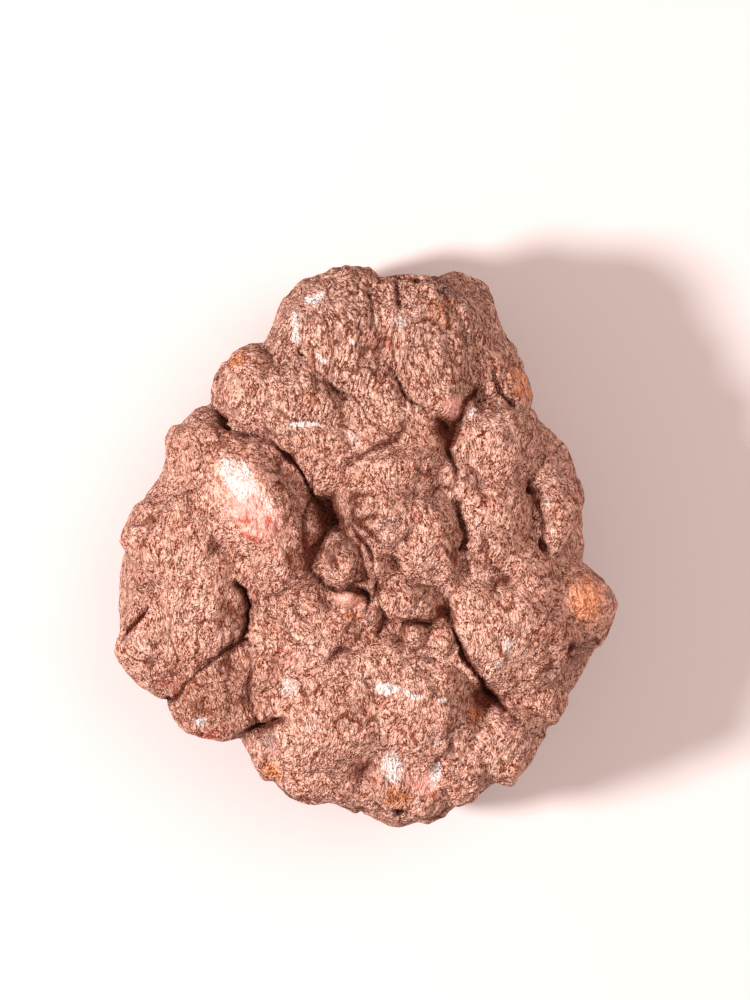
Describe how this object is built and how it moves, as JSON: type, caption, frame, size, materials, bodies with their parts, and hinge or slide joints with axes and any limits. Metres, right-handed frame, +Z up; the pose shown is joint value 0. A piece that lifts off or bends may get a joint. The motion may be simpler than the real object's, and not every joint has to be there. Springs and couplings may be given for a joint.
{
  "type": "geode nodule",
  "caption": "Palm-sized unopened geode nodule with a knobbly, cracked, gritty brown-pink rind, lying on a worn flat patch of its underside.",
  "frame": {"origin": "On the resting plane, in the worn flat patch of the underside, under the middle of the stone's outline", "axes": "+Z up out of the resting plane. The stone's long side runs along Y, with its narrower end towards +Y, and +X is to the right as its knobbly upper side is seen from above"},
  "size_m": [0.0545, 0.062, 0.0282],
  "materials": {
    "rind": "rough"
  },
  "bodies": {
    "root": {"geode": "rind"}
  },
  "joints": []
}
